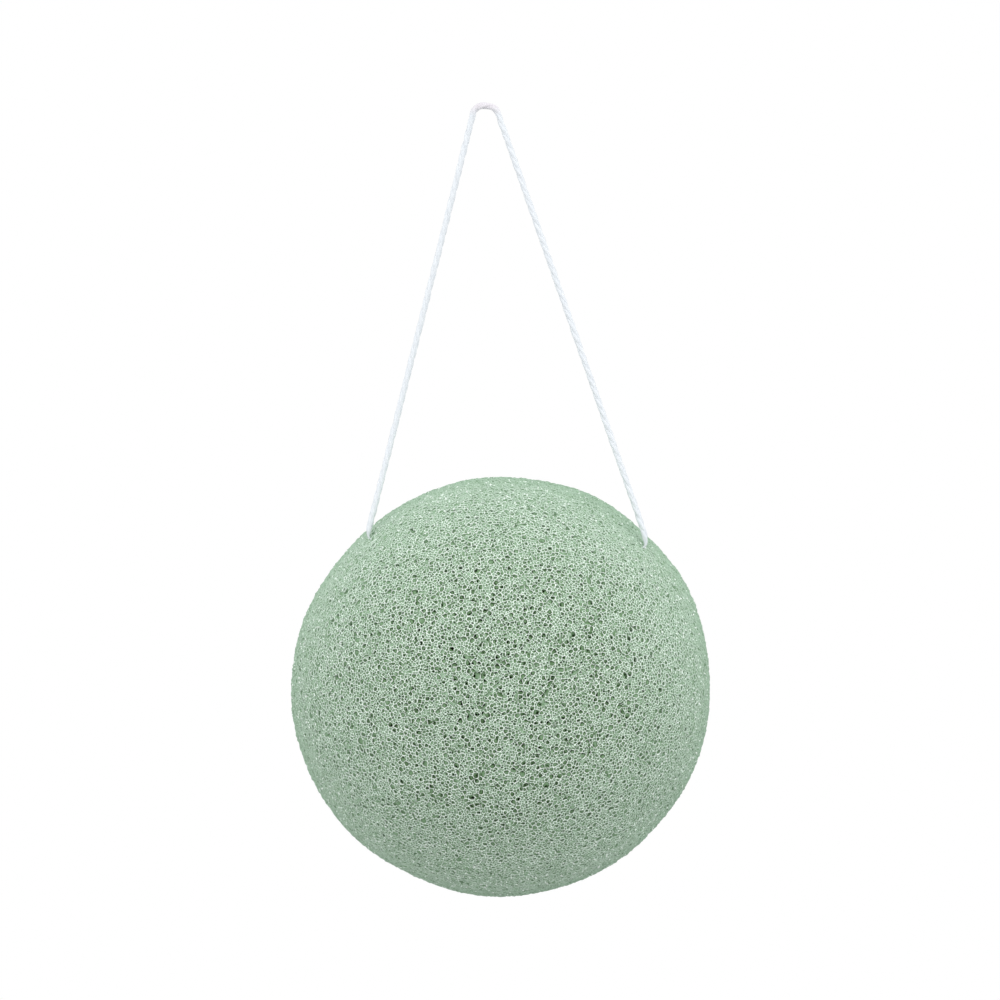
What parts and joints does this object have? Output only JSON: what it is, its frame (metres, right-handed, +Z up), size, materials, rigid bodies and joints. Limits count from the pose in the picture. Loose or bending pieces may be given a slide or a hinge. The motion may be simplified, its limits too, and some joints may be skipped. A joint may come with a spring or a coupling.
{
  "type": "konjac sponge",
  "caption": "Half-ball konjac face sponge of open-celled foam with a flat back, threaded on a loop of twisted string that hangs it up to dry.",
  "frame": {"origin": "the inside of the loop's bend, where it rests on a peg", "axes": "+Z up along the hang, +Y out of the sponge's flat back, +X to the right as seen from the dome"},
  "size_m": [0.08, 0.039, 0.1513],
  "materials": {
    "foam": "matte",
    "string": "matte"
  },
  "bodies": {
    "string": {"hanging_loop": "string", "buried_cord_left": "string", "buried_cord_right": "string", "end_knot": "string"},
    "foam": {"sponge": "foam"}
  },
  "joints": [
    {"name": "sponge_swing", "type": "hinge", "parent": "string", "child": "foam", "pos_m": [0.0042, 0, -0.08264], "axis": [0.9994, 0, -0.035], "range_deg": [-90, 30]}
  ]
}
